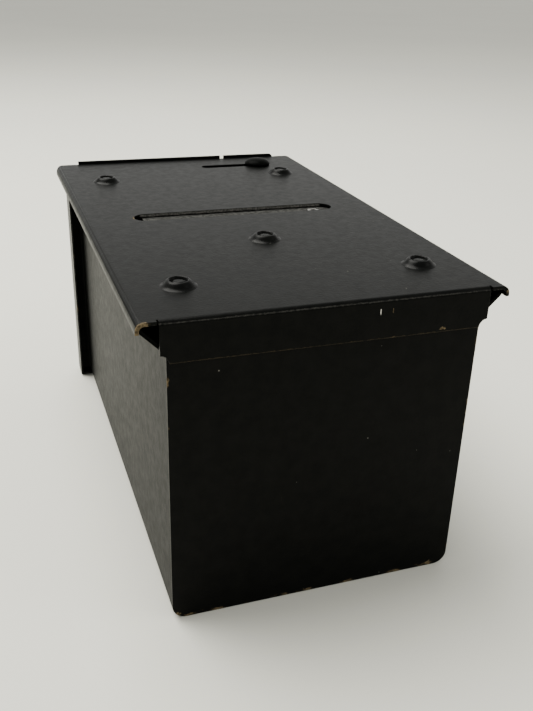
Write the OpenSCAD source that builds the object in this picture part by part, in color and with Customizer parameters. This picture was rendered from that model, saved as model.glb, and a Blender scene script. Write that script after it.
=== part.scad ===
// Slotted sheet-steel drop box that slides on rails by its side overhangs.
// X runs across the box, Y from the plain end to the locked door, Z up.
// The origin is on the underside, below the middle of the top plate.

/* [Body] */
// Width of the body across its side walls
body_w = 130; // [116:1:134]
// Height of the box to the top plate's upper face
box_h = 137; // [128:1:200]
// Thickness of the body, top plate and door sheet
sheet = 1.5; // [1.2:0.1:1.8]
// Outer radius of the bends along the underside
bottom_bend_r = 6; // [4:0.5:10]
// Height below the top face where the side walls start to flare out
flare_drop = 14.5; // [13:0.5:16]
// Length of the front panel's inward flanges
panel_flange = 12; // [8:1:20]

/* [Top plate] */
// Width of the top plate across its rolled sides
plate_w = 152.4; // [148:0.2:170]
// Length of the top plate
plate_l = 256; // [245:1:330]
// Outer radius of the rolled side edges
lip_r = 3.5; // [3:0.1:4]
// Height of the rolled side edges
lip_drop = 4.6; // [4.4:0.1:6]
// Outer radius of the bend along the front edge
front_bend_r = 2; // [1.8:0.1:3]
// Width of the flange that hangs over the front panel
front_flange_w = 135; // [118:1:136]
// Height of the front flange
front_flange_h = 17; // [12:0.5:24]
// Radius of the notch in each lower corner of the front flange
notch_r = 3.4; // [2:0.2:5]
// Radius of the rear corners, seen from above
rear_corner_r = 5; // [2:0.5:6]

/* [Slots] */
// Length of the paper slot
slot_l = 104; // [84:1:106]
// Width of the paper slot
slot_w = 12; // [8:0.5:13]
// Distance of the paper slot's middle from the plate's front edge
slot_from_front = 131; // [125:1:135]
// Offset of the paper slot's middle to the right
slot_x = 0.5; // [-1:0.5:1]
// Width of the thin slot that the stud runs in
stud_slot_w = 6.4; // [6.2:0.1:7]
// Distance of the thin slot from the plate's rear edge
stud_from_rear = 22; // [19:0.5:23]
// Length of the thin slot beyond each end of the stud's travel
stud_slot_spare = 3; // [1:0.5:10]

/* [Top rivets] */
// Distance from the middle to the side rivets
rivet_x = 52.5; // [50:0.5:55]
// Distance of the front pair from the plate's front edge
rivet_front = 33.5; // [25:0.5:45]
// Distance of the middle rivet from the plate's front edge
rivet_middle = 83.5; // [70:0.5:95]
// Distance of the rear pair from the plate's front edge
rivet_rear = 209; // [205:0.5:212]
// Diameter of the rivet heads
rivet_head_d = 14; // [11:0.5:15]
// Height of the rivet heads
rivet_head_h = 2.9; // [2:0.1:4]
// Diameter of the recess in the rivet heads
rivet_recess_d = 5; // [3:0.5:6]
// Diameter of the rivet shanks
rivet_shank_d = 6; // [4:0.2:6.4]
// Outer diameter of the tubes that space the tray from the plate
spacer_d = 10; // [9:0.5:10]

/* [Shutter mechanism] */
// Thickness of the shutter
shutter_t = 1.3; // [1:0.1:1.5]
// Thickness of the drive bar
bar_t = 1.3; // [1:0.1:1.5]
// Thickness of the mechanism tray
tray_t = 1.2; // [1:0.1:1.5]
// Free height between the moving plates
layer_gap = 0.4; // [0.3:0.05:0.6]
// Overlap of the closed shutter over each long side of the slot
shutter_lap = 0.6; // [0.4:0.1:1]
// Sideways travel of the stud
stud_travel = 33; // [26:1:33]
// Diameter of the stud's domed head
stud_head_d = 15.6; // [10:0.2:16]
// Height of the stud's domed head
stud_head_h = 3.8; // [2.5:0.1:5]
// Diameter of the stud's neck
stud_neck_d = 5.6; // [4.8:0.1:5.8]
// Diameter of the pin that follows the slanted slot
follower_d = 3; // [2.4:0.1:3.2]
// Outer diameter of the shutter's return spring
spring_d = 3.2; // [2.8:0.1:3.2]

/* [Door] */
// Width of the door
door_w = 142; // [126:1:146]
// Depth of the door's folded sides
door_depth = 15.5; // [12.5:0.5:19]
// Height of the door's upper lip above the top plate
door_lip_h = 1.6; // [1:0.1:5]
// Clearance between the door's lower edge and the floor
door_floor_gap = 0.8; // [0.4:0.1:3]
// Distance of the lock's middle below the top face
lock_drop = 39; // [36:1:44]

/* [Handle] */
// Distance between the middles of the handle's legs
handle_w = 76; // [60:1:92]
// Height of the handle below its pivots
handle_h = 34; // [28:1:45]
// Diameter of the handle's wire
handle_wire_d = 6; // [5:0.5:7]
// Height of the handle's pivots above the floor
handle_z = 66; // [60:1:70]

/* [Hidden] */

BLACK = [0.06, 0.06, 0.06];
GREY = [0.22, 0.22, 0.22];
ZINC = [0.62, 0.62, 0.60];
BRIGHT = [0.80, 0.79, 0.75];

// Clearances: between bodies, of a sliding fit, of a running pin and of a pin held fast
gap = 0.3;
slide_fit = 0.2;
run_fit = 0.05;
hold_fit = 0.05;
weld_fit = 0.1;
cut = 1;
arc_steps = 8;

// Main faces
front_y = -plate_l / 2;
rear_y = plate_l / 2;
under_z = box_h - sheet;
wall_x = body_w / 2;
wall_in_x = wall_x - sheet;
panel_y = front_y + sheet;
wrap_y = panel_y + sheet;
body_rear_y = rear_y + gap + sheet - door_depth - gap;

// Flare of the side walls, up to the inside of the rolled edge
lip_in_x = plate_w / 2 - sheet;
flare_z = box_h - flare_drop;
tab_l = 1.2;
tab_top_z = box_h - lip_r - weld_fit;
flare_top_z = tab_top_z - tab_l;

// Outward flange along the rear edge of each side wall
jamb_out = 5.5;
jamb_x = wall_x + jamb_out;
jamb_bend_r = 1;
jamb_z0 = bottom_bend_r + 1;
jamb_z1 = flare_z - 1;

// Slots, as distances from the middle of the plate
slot_y = front_y + slot_from_front;
stud_y = rear_y - stud_from_rear;
stud_x = 46;
stud_slot_x0 = stud_x - stud_travel - stud_neck_d / 2 - slide_fit;
stud_slot_x1 = stud_x + stud_neck_d / 2 + stud_slot_spare;

// Levels of the moving plates under the top plate
shutter_z1 = under_z - layer_gap - 0.1;
shutter_z0 = shutter_z1 - shutter_t;
bar_z1 = shutter_z0 - layer_gap;
bar_z0 = bar_z1 - bar_t;
tray_z1 = bar_z0 - layer_gap;
tray_z0 = tray_z1 - tray_t;

// Shutter: it moves back by its own travel while the stud moves sideways
shutter_rear_lap = 3.4;
shutter_clear = 1.4;
shutter_left_short = 5;
shutter_right_over = 4.5;
shutter_y0 = slot_y - slot_w / 2 - shutter_lap;
shutter_y1 = slot_y + slot_w / 2 + shutter_rear_lap;
shutter_travel = slot_w + shutter_lap + shutter_clear;
shutter_x0 = slot_x - slot_l / 2 + shutter_left_short;
shutter_x1 = slot_x + slot_l / 2 + shutter_right_over;
leg_w = 10;
leg_left_x = -39;
leg_right_x = 25;
shutter_to_guide = 44;
guide_y0 = shutter_y1 + shutter_to_guide;
guide_l = 14;
guide_w = 3;
leg_past_guide = 2;
leg_y1 = guide_y0 + guide_l + leg_past_guide;
shutter_to_follower = 19.6;
follower_y = shutter_y1 + shutter_to_follower;
eyelet_x = 43;
eyelet_d = 6;
eyelet_hole_d = 2.8;

// Drive bar: a slanted slot, a long leg and a pad under the stud
cam_fit = 0.08;
cam_slot_w = follower_d + 2 * cam_fit;
cam_pad = 5.8;
cam_pad_trim = 2.2;
bar_leg_x0 = 39.5;
bar_leg_x1 = 46.5;
stud_pad_r = 6.5;
stud_collar_r = 5;

// Return spring on its rod
spring_x = -24;
spring_z = (shutter_z1 + tray_z1) / 2 + 0.1;
spring_wire = 0.5;
rod_d = 1.4;
tab_t = 1.2;
tab_w = 6;
shutter_to_bracket = 45.6;
bracket_y = shutter_y1 + shutter_to_bracket;
bracket_t = 1.2;
bracket_w = 10;
bracket_foot = 7;

// Tray
tray_w = body_w - 7;
tray_side_h = 7;
tray_y0 = front_y + 24;
tray_slot_margin = 2;

// Rear rail across the top of the door opening
rail_back_gap = 0.5;
rail_y1 = body_rear_y - rail_back_gap;
rail_y0 = rail_y1 - sheet;
rail_top_z = tray_z0 - 1.4;
rail_depth = 13.5;
rail_drop = 17;
rail_z0 = rail_top_z - rail_drop;
rail_tab_z1 = flare_z - 1;
tray_rail_gap = 0.5;
tray_y1 = rail_y1 - rail_depth - tray_rail_gap;
strike_t = 1.2;
strike_w = 30;
strike_z0 = rail_z0 + 1.5;
strike_h = 13;
strike_rivet_x = 10;

// Door
door_y0 = body_rear_y + gap;
door_y1 = door_y0 + door_depth;
skin_y0 = door_y1 - sheet;
door_x = door_w / 2;
door_bend_r = 2.2;
door_z0 = door_floor_gap;
door_side_z1 = box_h - lip_drop - 3 * gap;
door_shoulder_z = under_z - 0.5;
door_lip_z = box_h + door_lip_h;
lip_x0 = -62.3;
lip_x1 = 63.8;
lip_end_r = 2.6;
lip_slit_x = 28;
lip_slit_w = 2.4;
plate_t = 1.2;

// Hinge on the right-hand side
knuckle_r = 2.4;
pin_r = 1.2;
leaf_t = 1;
hinge_x = door_x + knuckle_r + gap;
hinge_y = body_rear_y + 0.2;
hinge_z0 = 14;
knuckles = 5;
knuckle_gap = 0.4;
hinge_l = jamb_z1 - hinge_z0 - 6;
knuckle_pitch = hinge_l / knuckles;
small_rivet_r = 1;
small_head_r = 1.7;
small_head_h = 1.1;
jamb_rivet_x = wall_x + 2.4;
door_rivet_y = door_y0 + 7.2;

// Cam lock
lock_z = box_h - lock_drop;
lock_r = 8;
lock_head_r = 10.5;
lock_head_h = 2.4;
lock_thread_r = 7.7;
plug_r = 5.5;
cam_y1 = rail_y0 - strike_t - gap;
cam_t = 1.8;
cam_y0 = cam_y1 - cam_t;
cam_l = 22;
cam_w = 12;
tang = 5;
lock_in_y = cam_y1 + 0.4;
nut_r = 12;
nut_t = 3;
screw_r = 1.5;

// Handle
wire_r = handle_wire_d / 2;
boss_r = wire_r + 2;
handle_y = door_y1 + boss_r + 0.3;
boss_l = 9;
boss_x = handle_w / 2 + wire_r + 1;
bail_end_x = boss_x + boss_l - 1;
bail_bend_r = 9;
bracket_plate_t = 1.5;
bracket_plate_h = 26;

// ---- Shapes that repeat ----

function unit(v) = v / norm(v);
function left_of(v) = [-v[1], v[0]];

// One corner of a path, turned into an arc of radius r
function bend(before, corner, after, r) =
    let (a = unit(before - corner))
    let (b = unit(after - corner))
    let (half = acos(a * b) / 2)
    let (centre = corner + unit(a + b) * r / sin(half))
    let (first = corner + a * r / tan(half) - centre)
    let (last = corner + b * r / tan(half) - centre)
    [for (i = [0:arc_steps]) centre + r * unit(first * (1 - i / arc_steps) + last * i / arc_steps)];

// A path with every inner corner rounded to its own radius
function bent(path, radii) = concat(
    [path[0]],
    [for (i = [1:len(path) - 2]) each bend(path[i - 1], path[i], path[i + 1], radii[i - 1])],
    [path[len(path) - 1]]);

// Offset direction at point i, longer at a corner so that the sheet keeps its thickness
function mitre(p, i) =
    let (n = len(p))
    let (a = i > 0 ? unit(p[i] - p[i - 1]) : unit(p[1] - p[0]))
    let (b = i < n - 1 ? unit(p[i + 1] - p[i]) : unit(p[n - 1] - p[n - 2]))
    let (m = left_of(a) + left_of(b))
    m * 2 / (m * m);

// Outline of a bent sheet whose outer face follows the path, with its thickness on the left
function sheet_outline(p, t) =
    concat(p, [for (i = [len(p) - 1:-1:0]) p[i] + t * mitre(p, i)]);

module bent_sheet(path, radii, t) {
    polygon(sheet_outline(bent(path, radii), t));
}

// Extrudes an XZ outline between two Y positions
module along_y(y0, y1) {
    translate([0, y1, 0]) rotate([90, 0, 0]) linear_extrude(y1 - y0) children();
}

// Extrudes a YZ outline between two X positions
module along_x(x0, x1) {
    translate([x0, 0, 0]) rotate([90, 0, 90]) linear_extrude(x1 - x0) children();
}

// Box between two corners
module block(a, b) {
    translate(a) cube(b - a);
}

// Outline of a slot with round ends, from one centre to the other
module slot_outline(a, b, w) {
    d = unit(b - a);
    n = left_of(d) * w / 2;
    translate(a) circle(d = w, $fn = 48);
    translate(b) circle(d = w, $fn = 48);
    polygon([a + n, a - n, b - n, b + n]);
}

// Round bar or bore along Y
module round_y(r, y0, y1) {
    translate([0, y1, 0]) rotate([90, 0, 0]) cylinder(r = r, h = y1 - y0, $fn = 64);
}

// Round bar or bore along X
module round_x(r, x0, x1) {
    translate([x0, 0, 0]) rotate([0, 90, 0]) cylinder(r = r, h = x1 - x0, $fn = 48);
}

// Domed head on the Z axis, part of a sphere
module dome(r, h) {
    sphere_r = (r * r + h * h) / (2 * h);
    rotate_extrude($fn = 64) intersection() {
        translate([0, h - sphere_r]) circle(r = sphere_r, $fn = 128);
        square([r, h]);
    }
}

// Small closed rivet along Z, head up at zero, shank down through t
module small_rivet(t) {
    dome(small_head_r, small_head_h);
    translate([0, 0, -t]) cylinder(r = small_rivet_r, h = t, $fn = 32);
    translate([0, 0, -t]) mirror([0, 0, 1]) dome(small_head_r, small_head_h * 0.7);
}

function rivet_places() = [
    [-rivet_x, front_y + rivet_front], [rivet_x, front_y + rivet_front],
    [0, front_y + rivet_middle],
    [-rivet_x, front_y + rivet_rear], [rivet_x, front_y + rivet_rear]];

module at_top_rivets() {
    for (p = rivet_places()) translate([p[0], p[1], 0]) children();
}

// ---- Body ----

module body_outline() {
    bent_sheet([[-lip_in_x, tab_top_z], [-lip_in_x, flare_top_z], [-wall_x, flare_z], [-wall_x, 0],
        [wall_x, 0], [wall_x, flare_z], [lip_in_x, flare_top_z], [lip_in_x, tab_top_z]],
        [2, 2, bottom_bend_r, bottom_bend_r, 2, 2], sheet);
}

module jamb(side) {
    mirror([side < 0 ? 1 : 0, 0, 0]) translate([0, 0, jamb_z0])
        linear_extrude(jamb_z1 - jamb_z0)
            bent_sheet([[wall_x, body_rear_y - 8], [wall_x, body_rear_y - sheet],
                [jamb_x, body_rear_y - sheet]], [jamb_bend_r], sheet);
}

module body_shell() {
    color(BLACK) {
        difference() {
            along_y(wrap_y, body_rear_y) body_outline();
            for (s = [-1, 1])
                block([s > 0 ? wall_x - 4 : -wall_x - cut, body_rear_y - 8, jamb_z0],
                    [s > 0 ? wall_x + cut : 4 - wall_x, body_rear_y + cut, jamb_z1]);
            for (s = [-1, 1])
                block([s > 0 ? wall_x - 3 : -plate_w / 2, body_rear_y - sheet, jamb_z1],
                    [s > 0 ? plate_w / 2 : 3 - wall_x, body_rear_y + cut, box_h]);
        }
        difference() {
            for (s = [-1, 1]) jamb(s);
            for (i = [0:2]) at_jamb_rivet(i)
                cylinder(r = small_rivet_r + hold_fit, h = 9, center = true, $fn = 32);
        }
    }
}

// Shallow pan that closes the plain end: its flanges lie inside the body
module front_panel() {
    in_x = wall_in_x - weld_fit;
    in_z = sheet + weld_fit;
    flange_top = flare_z - 2;
    panel_top = under_z - (front_bend_r - sheet) - weld_fit;
    color(BLACK) {
        along_y(panel_y, wrap_y)
            difference() {
                translate([-wall_x, 0]) square([body_w, panel_top]);
                for (s = [-1, 1]) translate([s * wall_x, 0]) difference() {
                    square(2 * bottom_bend_r, center = true);
                    translate([-s * bottom_bend_r, bottom_bend_r]) circle(r = bottom_bend_r, $fn = 64);
                }
            }
        along_y(wrap_y - 0.5, wrap_y + panel_flange)
            bent_sheet([[-in_x, flange_top], [-in_x, in_z], [in_x, in_z], [in_x, flange_top]],
                [bottom_bend_r - sheet, bottom_bend_r - sheet], sheet);
    }
}

// ---- Top plate ----

module plate_outline() {
    lip_z = box_h - lip_drop;
    bent_sheet([[plate_w / 2, lip_z], [plate_w / 2, box_h], [-plate_w / 2, box_h], [-plate_w / 2, lip_z]],
        [lip_r, lip_r], sheet);
}

module front_flange() {
    back_y = front_y + front_bend_r + 1;
    difference() {
        along_x(-front_flange_w / 2, front_flange_w / 2)
            bent_sheet([[back_y, box_h], [front_y, box_h], [front_y, box_h - front_flange_h]],
                [front_bend_r], sheet);
        for (s = [-1, 1])
            translate([s * front_flange_w / 2, 0, box_h - front_flange_h])
                round_y(notch_r, front_y - cut, front_y + sheet + cut);
    }
}

module top_plate() {
    relief = 0.7;
    color(BLACK) difference() {
        union() {
            along_y(front_y + front_bend_r, rear_y) plate_outline();
            difference() {
                along_y(front_y, front_y + front_bend_r) plate_outline();
                block([-front_flange_w / 2 - relief, front_y - cut, 0],
                    [front_flange_w / 2 + relief, front_y + front_bend_r + cut, box_h + cut]);
            }
            front_flange();
        }
        translate([0, 0, under_z - cut]) linear_extrude(sheet + 2 * cut) {
            slot_outline([slot_x - (slot_l - slot_w) / 2, slot_y],
                         [slot_x + (slot_l - slot_w) / 2, slot_y], slot_w);
            slot_outline([stud_slot_x0 + stud_slot_w / 2, stud_y],
                [stud_slot_x1 - stud_slot_w / 2, stud_y], stud_slot_w);
        }
        at_top_rivets() translate([0, 0, under_z - cut])
            cylinder(d = rivet_shank_d + 2 * hold_fit, h = sheet + 2 * cut, $fn = 48);
        for (s = [-1, 1])
            translate([s * (plate_w / 2 - rear_corner_r), rear_y - rear_corner_r, box_h - 20]) difference() {
                translate([s > 0 ? 0 : -2 * rear_corner_r, 0, 0])
                    cube([2 * rear_corner_r, 2 * rear_corner_r, 30]);
                translate([0, 0, -cut]) cylinder(r = rear_corner_r, h = 32, $fn = 64);
            }
    }
}

// Domed rivets that hang the tray from the plate
module top_rivets() {
    tail_h = 1.8;
    recess_h = 1.2;
    color(BLACK) at_top_rivets() {
        difference() {
            translate([0, 0, box_h]) dome(rivet_head_d / 2, rivet_head_h);
            translate([0, 0, box_h + rivet_head_h - recess_h])
                cylinder(d = rivet_recess_d, h = recess_h + cut, $fn = 48);
        }
        translate([0, 0, tray_z0]) cylinder(d = rivet_shank_d, h = box_h - tray_z0, $fn = 48);
        translate([0, 0, tray_z0]) mirror([0, 0, 1]) dome(rivet_shank_d * 0.75, tail_h);
    }
}

module tray_spacers() {
    color(ZINC) at_top_rivets() translate([0, 0, tray_z1]) difference() {
        cylinder(d = spacer_d, h = under_z - tray_z1, $fn = 48);
        translate([0, 0, -cut])
            cylinder(d = rivet_shank_d + 2 * hold_fit, h = under_z - tray_z1 + 2 * cut, $fn = 48);
    }
}

// ---- Mechanism under the plate ----

module mechanism_tray() {
    half = (slot_l - slot_w) / 2 + tray_slot_margin;
    color(ZINC) difference() {
        along_y(tray_y0, tray_y1)
            bent_sheet([[tray_w / 2, tray_z1 - tray_side_h], [tray_w / 2, tray_z1], [-tray_w / 2, tray_z1],
                [-tray_w / 2, tray_z1 - tray_side_h]], [2, 2], tray_t);
        translate([0, 0, tray_z0 - cut]) linear_extrude(tray_t + 2 * cut)
            slot_outline([slot_x - half, slot_y], [slot_x + half, slot_y], slot_w + 2 * tray_slot_margin);
        at_top_rivets() translate([0, 0, tray_z0 - cut])
            cylinder(d = rivet_shank_d + 2 * hold_fit, h = tray_t + 2 * cut, $fn = 48);
    }
}

// Strips welded under the plate, one on each side of each shutter leg
module shutter_guides() {
    color(ZINC) for (x = [leg_left_x, leg_right_x], s = [-1, 1]) {
        inner = x + s * (leg_w / 2 + gap);
        outer = inner + s * guide_w;
        block([min(inner, outer), guide_y0, shutter_z0], [max(inner, outer), guide_y0 + guide_l, under_z]);
    }
}

module shutter() {
    color(GREY) difference() {
        union() {
            block([shutter_x0, shutter_y0, shutter_z0], [shutter_x1, shutter_y1, shutter_z1]);
            for (x = [leg_left_x, leg_right_x])
                block([x - leg_w / 2, shutter_y1 - cut, shutter_z0], [x + leg_w / 2, leg_y1, shutter_z1]);
            block([spring_x - tab_w / 2, shutter_y1 - cut, shutter_z0],
                [spring_x + tab_w / 2, shutter_y1 + tab_t, shutter_z1]);
            block([spring_x - tab_w / 2, shutter_y1, tray_z1 + gap],
                [spring_x + tab_w / 2, shutter_y1 + tab_t, shutter_z1]);
        }
        translate([eyelet_x, slot_y, shutter_z0 - cut])
            cylinder(d = eyelet_d - 1 + 2 * hold_fit, h = shutter_t + 2 * cut, $fn = 48);
        translate([leg_right_x, follower_y, shutter_z0 - cut])
            cylinder(d = follower_d + 2 * hold_fit, h = shutter_t + 2 * cut, $fn = 48);
        translate([spring_x, 0, spring_z])
            round_y(rod_d / 2 + hold_fit, shutter_y1 - cut, shutter_y1 + tab_t + cut);
    }
}

// Bare metal eyelet pressed into the shutter
module shutter_eyelet() {
    flange_t = 0.3;
    color(BRIGHT) translate([eyelet_x, slot_y, 0]) difference() {
        union() {
            translate([0, 0, shutter_z1]) cylinder(d = eyelet_d, h = flange_t, $fn = 48);
            translate([0, 0, shutter_z0]) cylinder(d = eyelet_d - 1, h = shutter_t, $fn = 48);
        }
        translate([0, 0, shutter_z0 - cut]) cylinder(d = eyelet_hole_d, h = shutter_t + 3, $fn = 48);
    }
}

module follower_pin() {
    color(BRIGHT) translate([leg_right_x, follower_y, 0]) {
        translate([0, 0, bar_z0 + 0.1]) cylinder(d = follower_d, h = shutter_z1 - bar_z0 - 0.1, $fn = 48);
        translate([0, 0, shutter_z1]) cylinder(d = follower_d + 2, h = 0.25, $fn = 48);
    }
}

// Flat bar under the shutter: sliding it sideways wedges the follower pin back
module drive_bar() {
    cam_start = [leg_right_x, follower_y];
    cam_end = cam_start + [stud_travel, shutter_travel];
    color(GREY) translate([0, 0, bar_z0]) linear_extrude(bar_t) difference() {
        union() {
            translate(cam_start - [cam_pad, cam_pad])
                square(cam_end - cam_start + [cam_pad - cam_pad_trim, 2 * cam_pad]);
            translate([bar_leg_x0, cam_start[1]]) square([bar_leg_x1 - bar_leg_x0, stud_y - cam_start[1]]);
            translate([stud_x, stud_y]) circle(r = stud_pad_r, $fn = 64);
        }
        slot_outline(cam_start, cam_end, cam_slot_w);
        translate([stud_x, stud_y]) circle(r = stud_neck_d / 2 + hold_fit, $fn = 48);
    }
}

module drive_stud() {
    color(BLACK) translate([stud_x, stud_y, 0]) {
        translate([0, 0, box_h + gap]) dome(stud_head_d / 2, stud_head_h);
        translate([0, 0, bar_z0]) cylinder(d = stud_neck_d, h = box_h + gap - bar_z0, $fn = 48);
        translate([0, 0, bar_z1]) cylinder(r = stud_collar_r, h = under_z - layer_gap - bar_z1, $fn = 48);
    }
}

module spring_rod() {
    rod_end = bracket_y + bracket_t + 4;
    color(BRIGHT) translate([spring_x, 0, spring_z]) round_y(rod_d / 2, shutter_y1, rod_end);
}

// Outer form of the compression spring round its rod
module shutter_spring() {
    bore_r = spring_d / 2 - spring_wire;
    color(BRIGHT) translate([spring_x, 0, spring_z]) difference() {
        round_y(spring_d / 2, shutter_y1 + tab_t, bracket_y);
        round_y(bore_r, shutter_y1, bracket_y + cut);
    }
}

module spring_bracket() {
    color(ZINC) difference() {
        union() {
            block([spring_x - bracket_w / 2, bracket_y, tray_z1],
                [spring_x + bracket_w / 2, bracket_y + bracket_t, under_z - gap]);
            block([spring_x - bracket_w / 2, bracket_y, tray_z1],
                [spring_x + bracket_w / 2, bracket_y + bracket_foot, tray_z1 + 0.8]);
        }
        translate([spring_x, 0, spring_z])
            round_y(rod_d / 2 + slide_fit, bracket_y - cut, bracket_y + bracket_t + cut);
    }
}

// ---- Door opening ----

module rear_rail() {
    tab_l = 12;
    color(BLACK) difference() {
        union() {
            along_x(-wall_in_x, wall_in_x)
                bent_sheet([[rail_y1, rail_z0], [rail_y1, rail_top_z], [rail_y1 - rail_depth, rail_top_z]],
                    [2], sheet);
            for (s = [-1, 1])
                block([s > 0 ? wall_in_x - sheet : -wall_in_x, rail_y0 - tab_l, rail_z0],
                    [s > 0 ? wall_in_x : sheet - wall_in_x, rail_y0 + 0.5, rail_tab_z1]);
        }
        at_strike_rivets() round_y(small_rivet_r + hold_fit, rail_y0 - cut, rail_y1 + cut);
    }
}

module at_strike_rivets() {
    for (s = [-1, 1]) translate([s * strike_rivet_x, 0, strike_z0 + strike_h - 3.5]) children();
}

module lock_strike() {
    color(ZINC) difference() {
        block([-strike_w / 2, rail_y0 - strike_t, strike_z0],
              [strike_w / 2, rail_y0, strike_z0 + strike_h]);
        at_strike_rivets() round_y(small_rivet_r + hold_fit, rail_y0 - strike_t - cut, rail_y0 + cut);
    }
}

module strike_rivets() {
    color(ZINC) at_strike_rivets()
        translate([0, rail_y0 - strike_t, 0]) rotate([90, 0, 0]) small_rivet(sheet + strike_t);
}

// ---- Door ----

module door_outline() {
    bent_sheet([[door_x, door_y0], [door_x, door_y1], [-door_x, door_y1], [-door_x, door_y0]],
        [door_bend_r, door_bend_r], sheet);
}

module door_lip_outline() {
    difference() {
        union() {
            translate([lip_x0, door_side_z1 - cut])
                square([lip_x1 - lip_x0 - lip_end_r, door_lip_z - door_side_z1 + cut]);
            translate([lip_x0, door_side_z1 - cut])
                square([lip_x1 - lip_x0, door_lip_z - door_side_z1 + cut - lip_end_r]);
            translate([lip_x1 - lip_end_r, door_lip_z - lip_end_r]) circle(r = lip_end_r, $fn = 48);
            translate([door_bend_r - door_x, door_side_z1 - cut])
                square([door_w - 2 * door_bend_r, door_shoulder_z - door_side_z1 + cut]);
        }
        translate([lip_slit_x, box_h - 2]) square([lip_slit_w, door_lip_h + 4]);
    }
}

module door() {
    color(BLACK) difference() {
        union() {
            translate([0, 0, door_z0]) linear_extrude(door_side_z1 - door_z0) door_outline();
            along_y(skin_y0, door_y1) door_lip_outline();
            block([sheet - door_x, door_y0, door_z0], [door_x - sheet, skin_y0 + 0.5, door_z0 + sheet]);
        }
        translate([0, 0, lock_z]) round_y(lock_r + hold_fit, skin_y0 - cut, door_y1 + cut);
        for (i = [0:1]) at_door_rivet(i)
            cylinder(r = small_rivet_r + hold_fit, h = 8, center = true, $fn = 32);
        at_handle_rivets() round_y(small_rivet_r + hold_fit, skin_y0 - cut, door_y1 + cut);
    }
}

// Doubler behind the lock
module lock_plate() {
    color(ZINC) difference() {
        block([-26, skin_y0 - plate_t, lock_z - 17], [26, skin_y0, lock_z + 17]);
        translate([0, 0, lock_z]) round_y(lock_r + hold_fit, skin_y0 - plate_t - cut, skin_y0 + cut);
    }
}

// ---- Hinge ----

function knuckle_z(i) = hinge_z0 + i * knuckle_pitch;

module knuckle(i) {
    translate([hinge_x, hinge_y, knuckle_z(i) + knuckle_gap / 2]) difference() {
        cylinder(r = knuckle_r, h = knuckle_pitch - knuckle_gap, $fn = 48);
        translate([0, 0, -cut]) cylinder(r = pin_r + run_fit, h = knuckle_pitch + 2 * cut, $fn = 48);
    }
}

module at_jamb_rivet(i) {
    translate([jamb_rivet_x, body_rear_y - sheet - leaf_t, hinge_z0 + hinge_l * (0.12 + 0.38 * i)])
        rotate([90, 0, 0]) children();
}

module at_door_rivet(i) {
    translate([door_x + leaf_t, door_rivet_y, knuckle_z(1 + 2 * i) + knuckle_pitch / 2])
        rotate([0, 90, 0]) children();
}

module hinge_body_leaf() {
    leaf_y1 = body_rear_y - sheet;
    color(ZINC) {
        difference() {
            block([wall_x + jamb_bend_r + weld_fit, leaf_y1 - leaf_t, hinge_z0],
                  [jamb_x + 0.2, leaf_y1, hinge_z0 + hinge_l]);
            for (i = [0:2]) at_jamb_rivet(i)
                cylinder(r = small_rivet_r + hold_fit, h = 5, center = true, $fn = 32);
        }
        for (i = [0:2:knuckles - 1]) {
            knuckle(i);
            block([jamb_x, leaf_y1 - leaf_t, knuckle_z(i) + knuckle_gap / 2],
                [hinge_x, leaf_y1 - leaf_t + 0.9, knuckle_z(i + 1) - knuckle_gap / 2]);
        }
    }
}

module hinge_door_leaf() {
    leaf_x = door_x + leaf_t;
    color(ZINC) {
        difference() {
            block([door_x, hinge_y + knuckle_r, hinge_z0],
                  [leaf_x, door_rivet_y + 4.5, hinge_z0 + hinge_l]);
            for (i = [0:1]) at_door_rivet(i)
                cylinder(r = small_rivet_r + hold_fit, h = 5, center = true, $fn = 32);
        }
        for (i = [1:2:knuckles - 1]) {
            knuckle(i);
            block([door_x, hinge_y + 0.6, knuckle_z(i) + knuckle_gap / 2],
                [leaf_x, hinge_y + knuckle_r + cut, knuckle_z(i + 1) - knuckle_gap / 2]);
        }
    }
}

module hinge_pin() {
    head_r = 1.9;
    head_h = 0.8;
    color(BRIGHT) translate([hinge_x, hinge_y, 0]) {
        translate([0, 0, hinge_z0]) cylinder(r = pin_r, h = hinge_l, $fn = 48);
        translate([0, 0, hinge_z0 - head_h + knuckle_gap / 2]) cylinder(r = head_r, h = head_h, $fn = 48);
        translate([0, 0, hinge_z0 + hinge_l - knuckle_gap / 2]) cylinder(r = head_r, h = head_h, $fn = 48);
    }
}

module hinge_body_rivets() {
    color(ZINC) for (i = [0:2]) at_jamb_rivet(i) small_rivet(sheet + leaf_t);
}

module hinge_door_rivets() {
    color(ZINC) for (i = [0:1]) at_door_rivet(i) small_rivet(sheet + leaf_t);
}

// ---- Lock ----

module lock_body() {
    color(BRIGHT) translate([0, 0, lock_z]) difference() {
        union() {
            round_y(lock_thread_r, lock_in_y, skin_y0);
            round_y(lock_r, skin_y0 - plate_t, door_y1 + 0.1);
            round_y(lock_head_r, door_y1, door_y1 + lock_head_h);
        }
        round_y(plug_r + run_fit, lock_in_y - cut, door_y1 + lock_head_h + cut);
    }
}

module lock_nut() {
    nut_y1 = skin_y0 - plate_t;
    color(ZINC) translate([0, 0, lock_z]) difference() {
        translate([0, nut_y1, 0]) rotate([90, 0, 0]) cylinder(r = nut_r, h = nut_t, $fn = 6);
        round_y(lock_thread_r + hold_fit, nut_y1 - nut_t - cut, nut_y1 + cut);
    }
}

module lock_plug() {
    key_l = 7;
    key_w = 1.4;
    color(BRIGHT) translate([0, 0, lock_z]) difference() {
        union() {
            round_y(plug_r, cam_y1, door_y1 + lock_head_h + 0.2);
            block([-tang / 2, cam_y0 + 0.1, -tang / 2], [tang / 2, cam_y1 + cut, tang / 2]);
        }
        block([-key_w / 2, door_y1 - 5, -key_l / 2], [key_w / 2, door_y1 + lock_head_h + cut, key_l / 2]);
        round_y(screw_r + hold_fit, cam_y0 - cut, cam_y1 + 6);
    }
}

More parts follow.
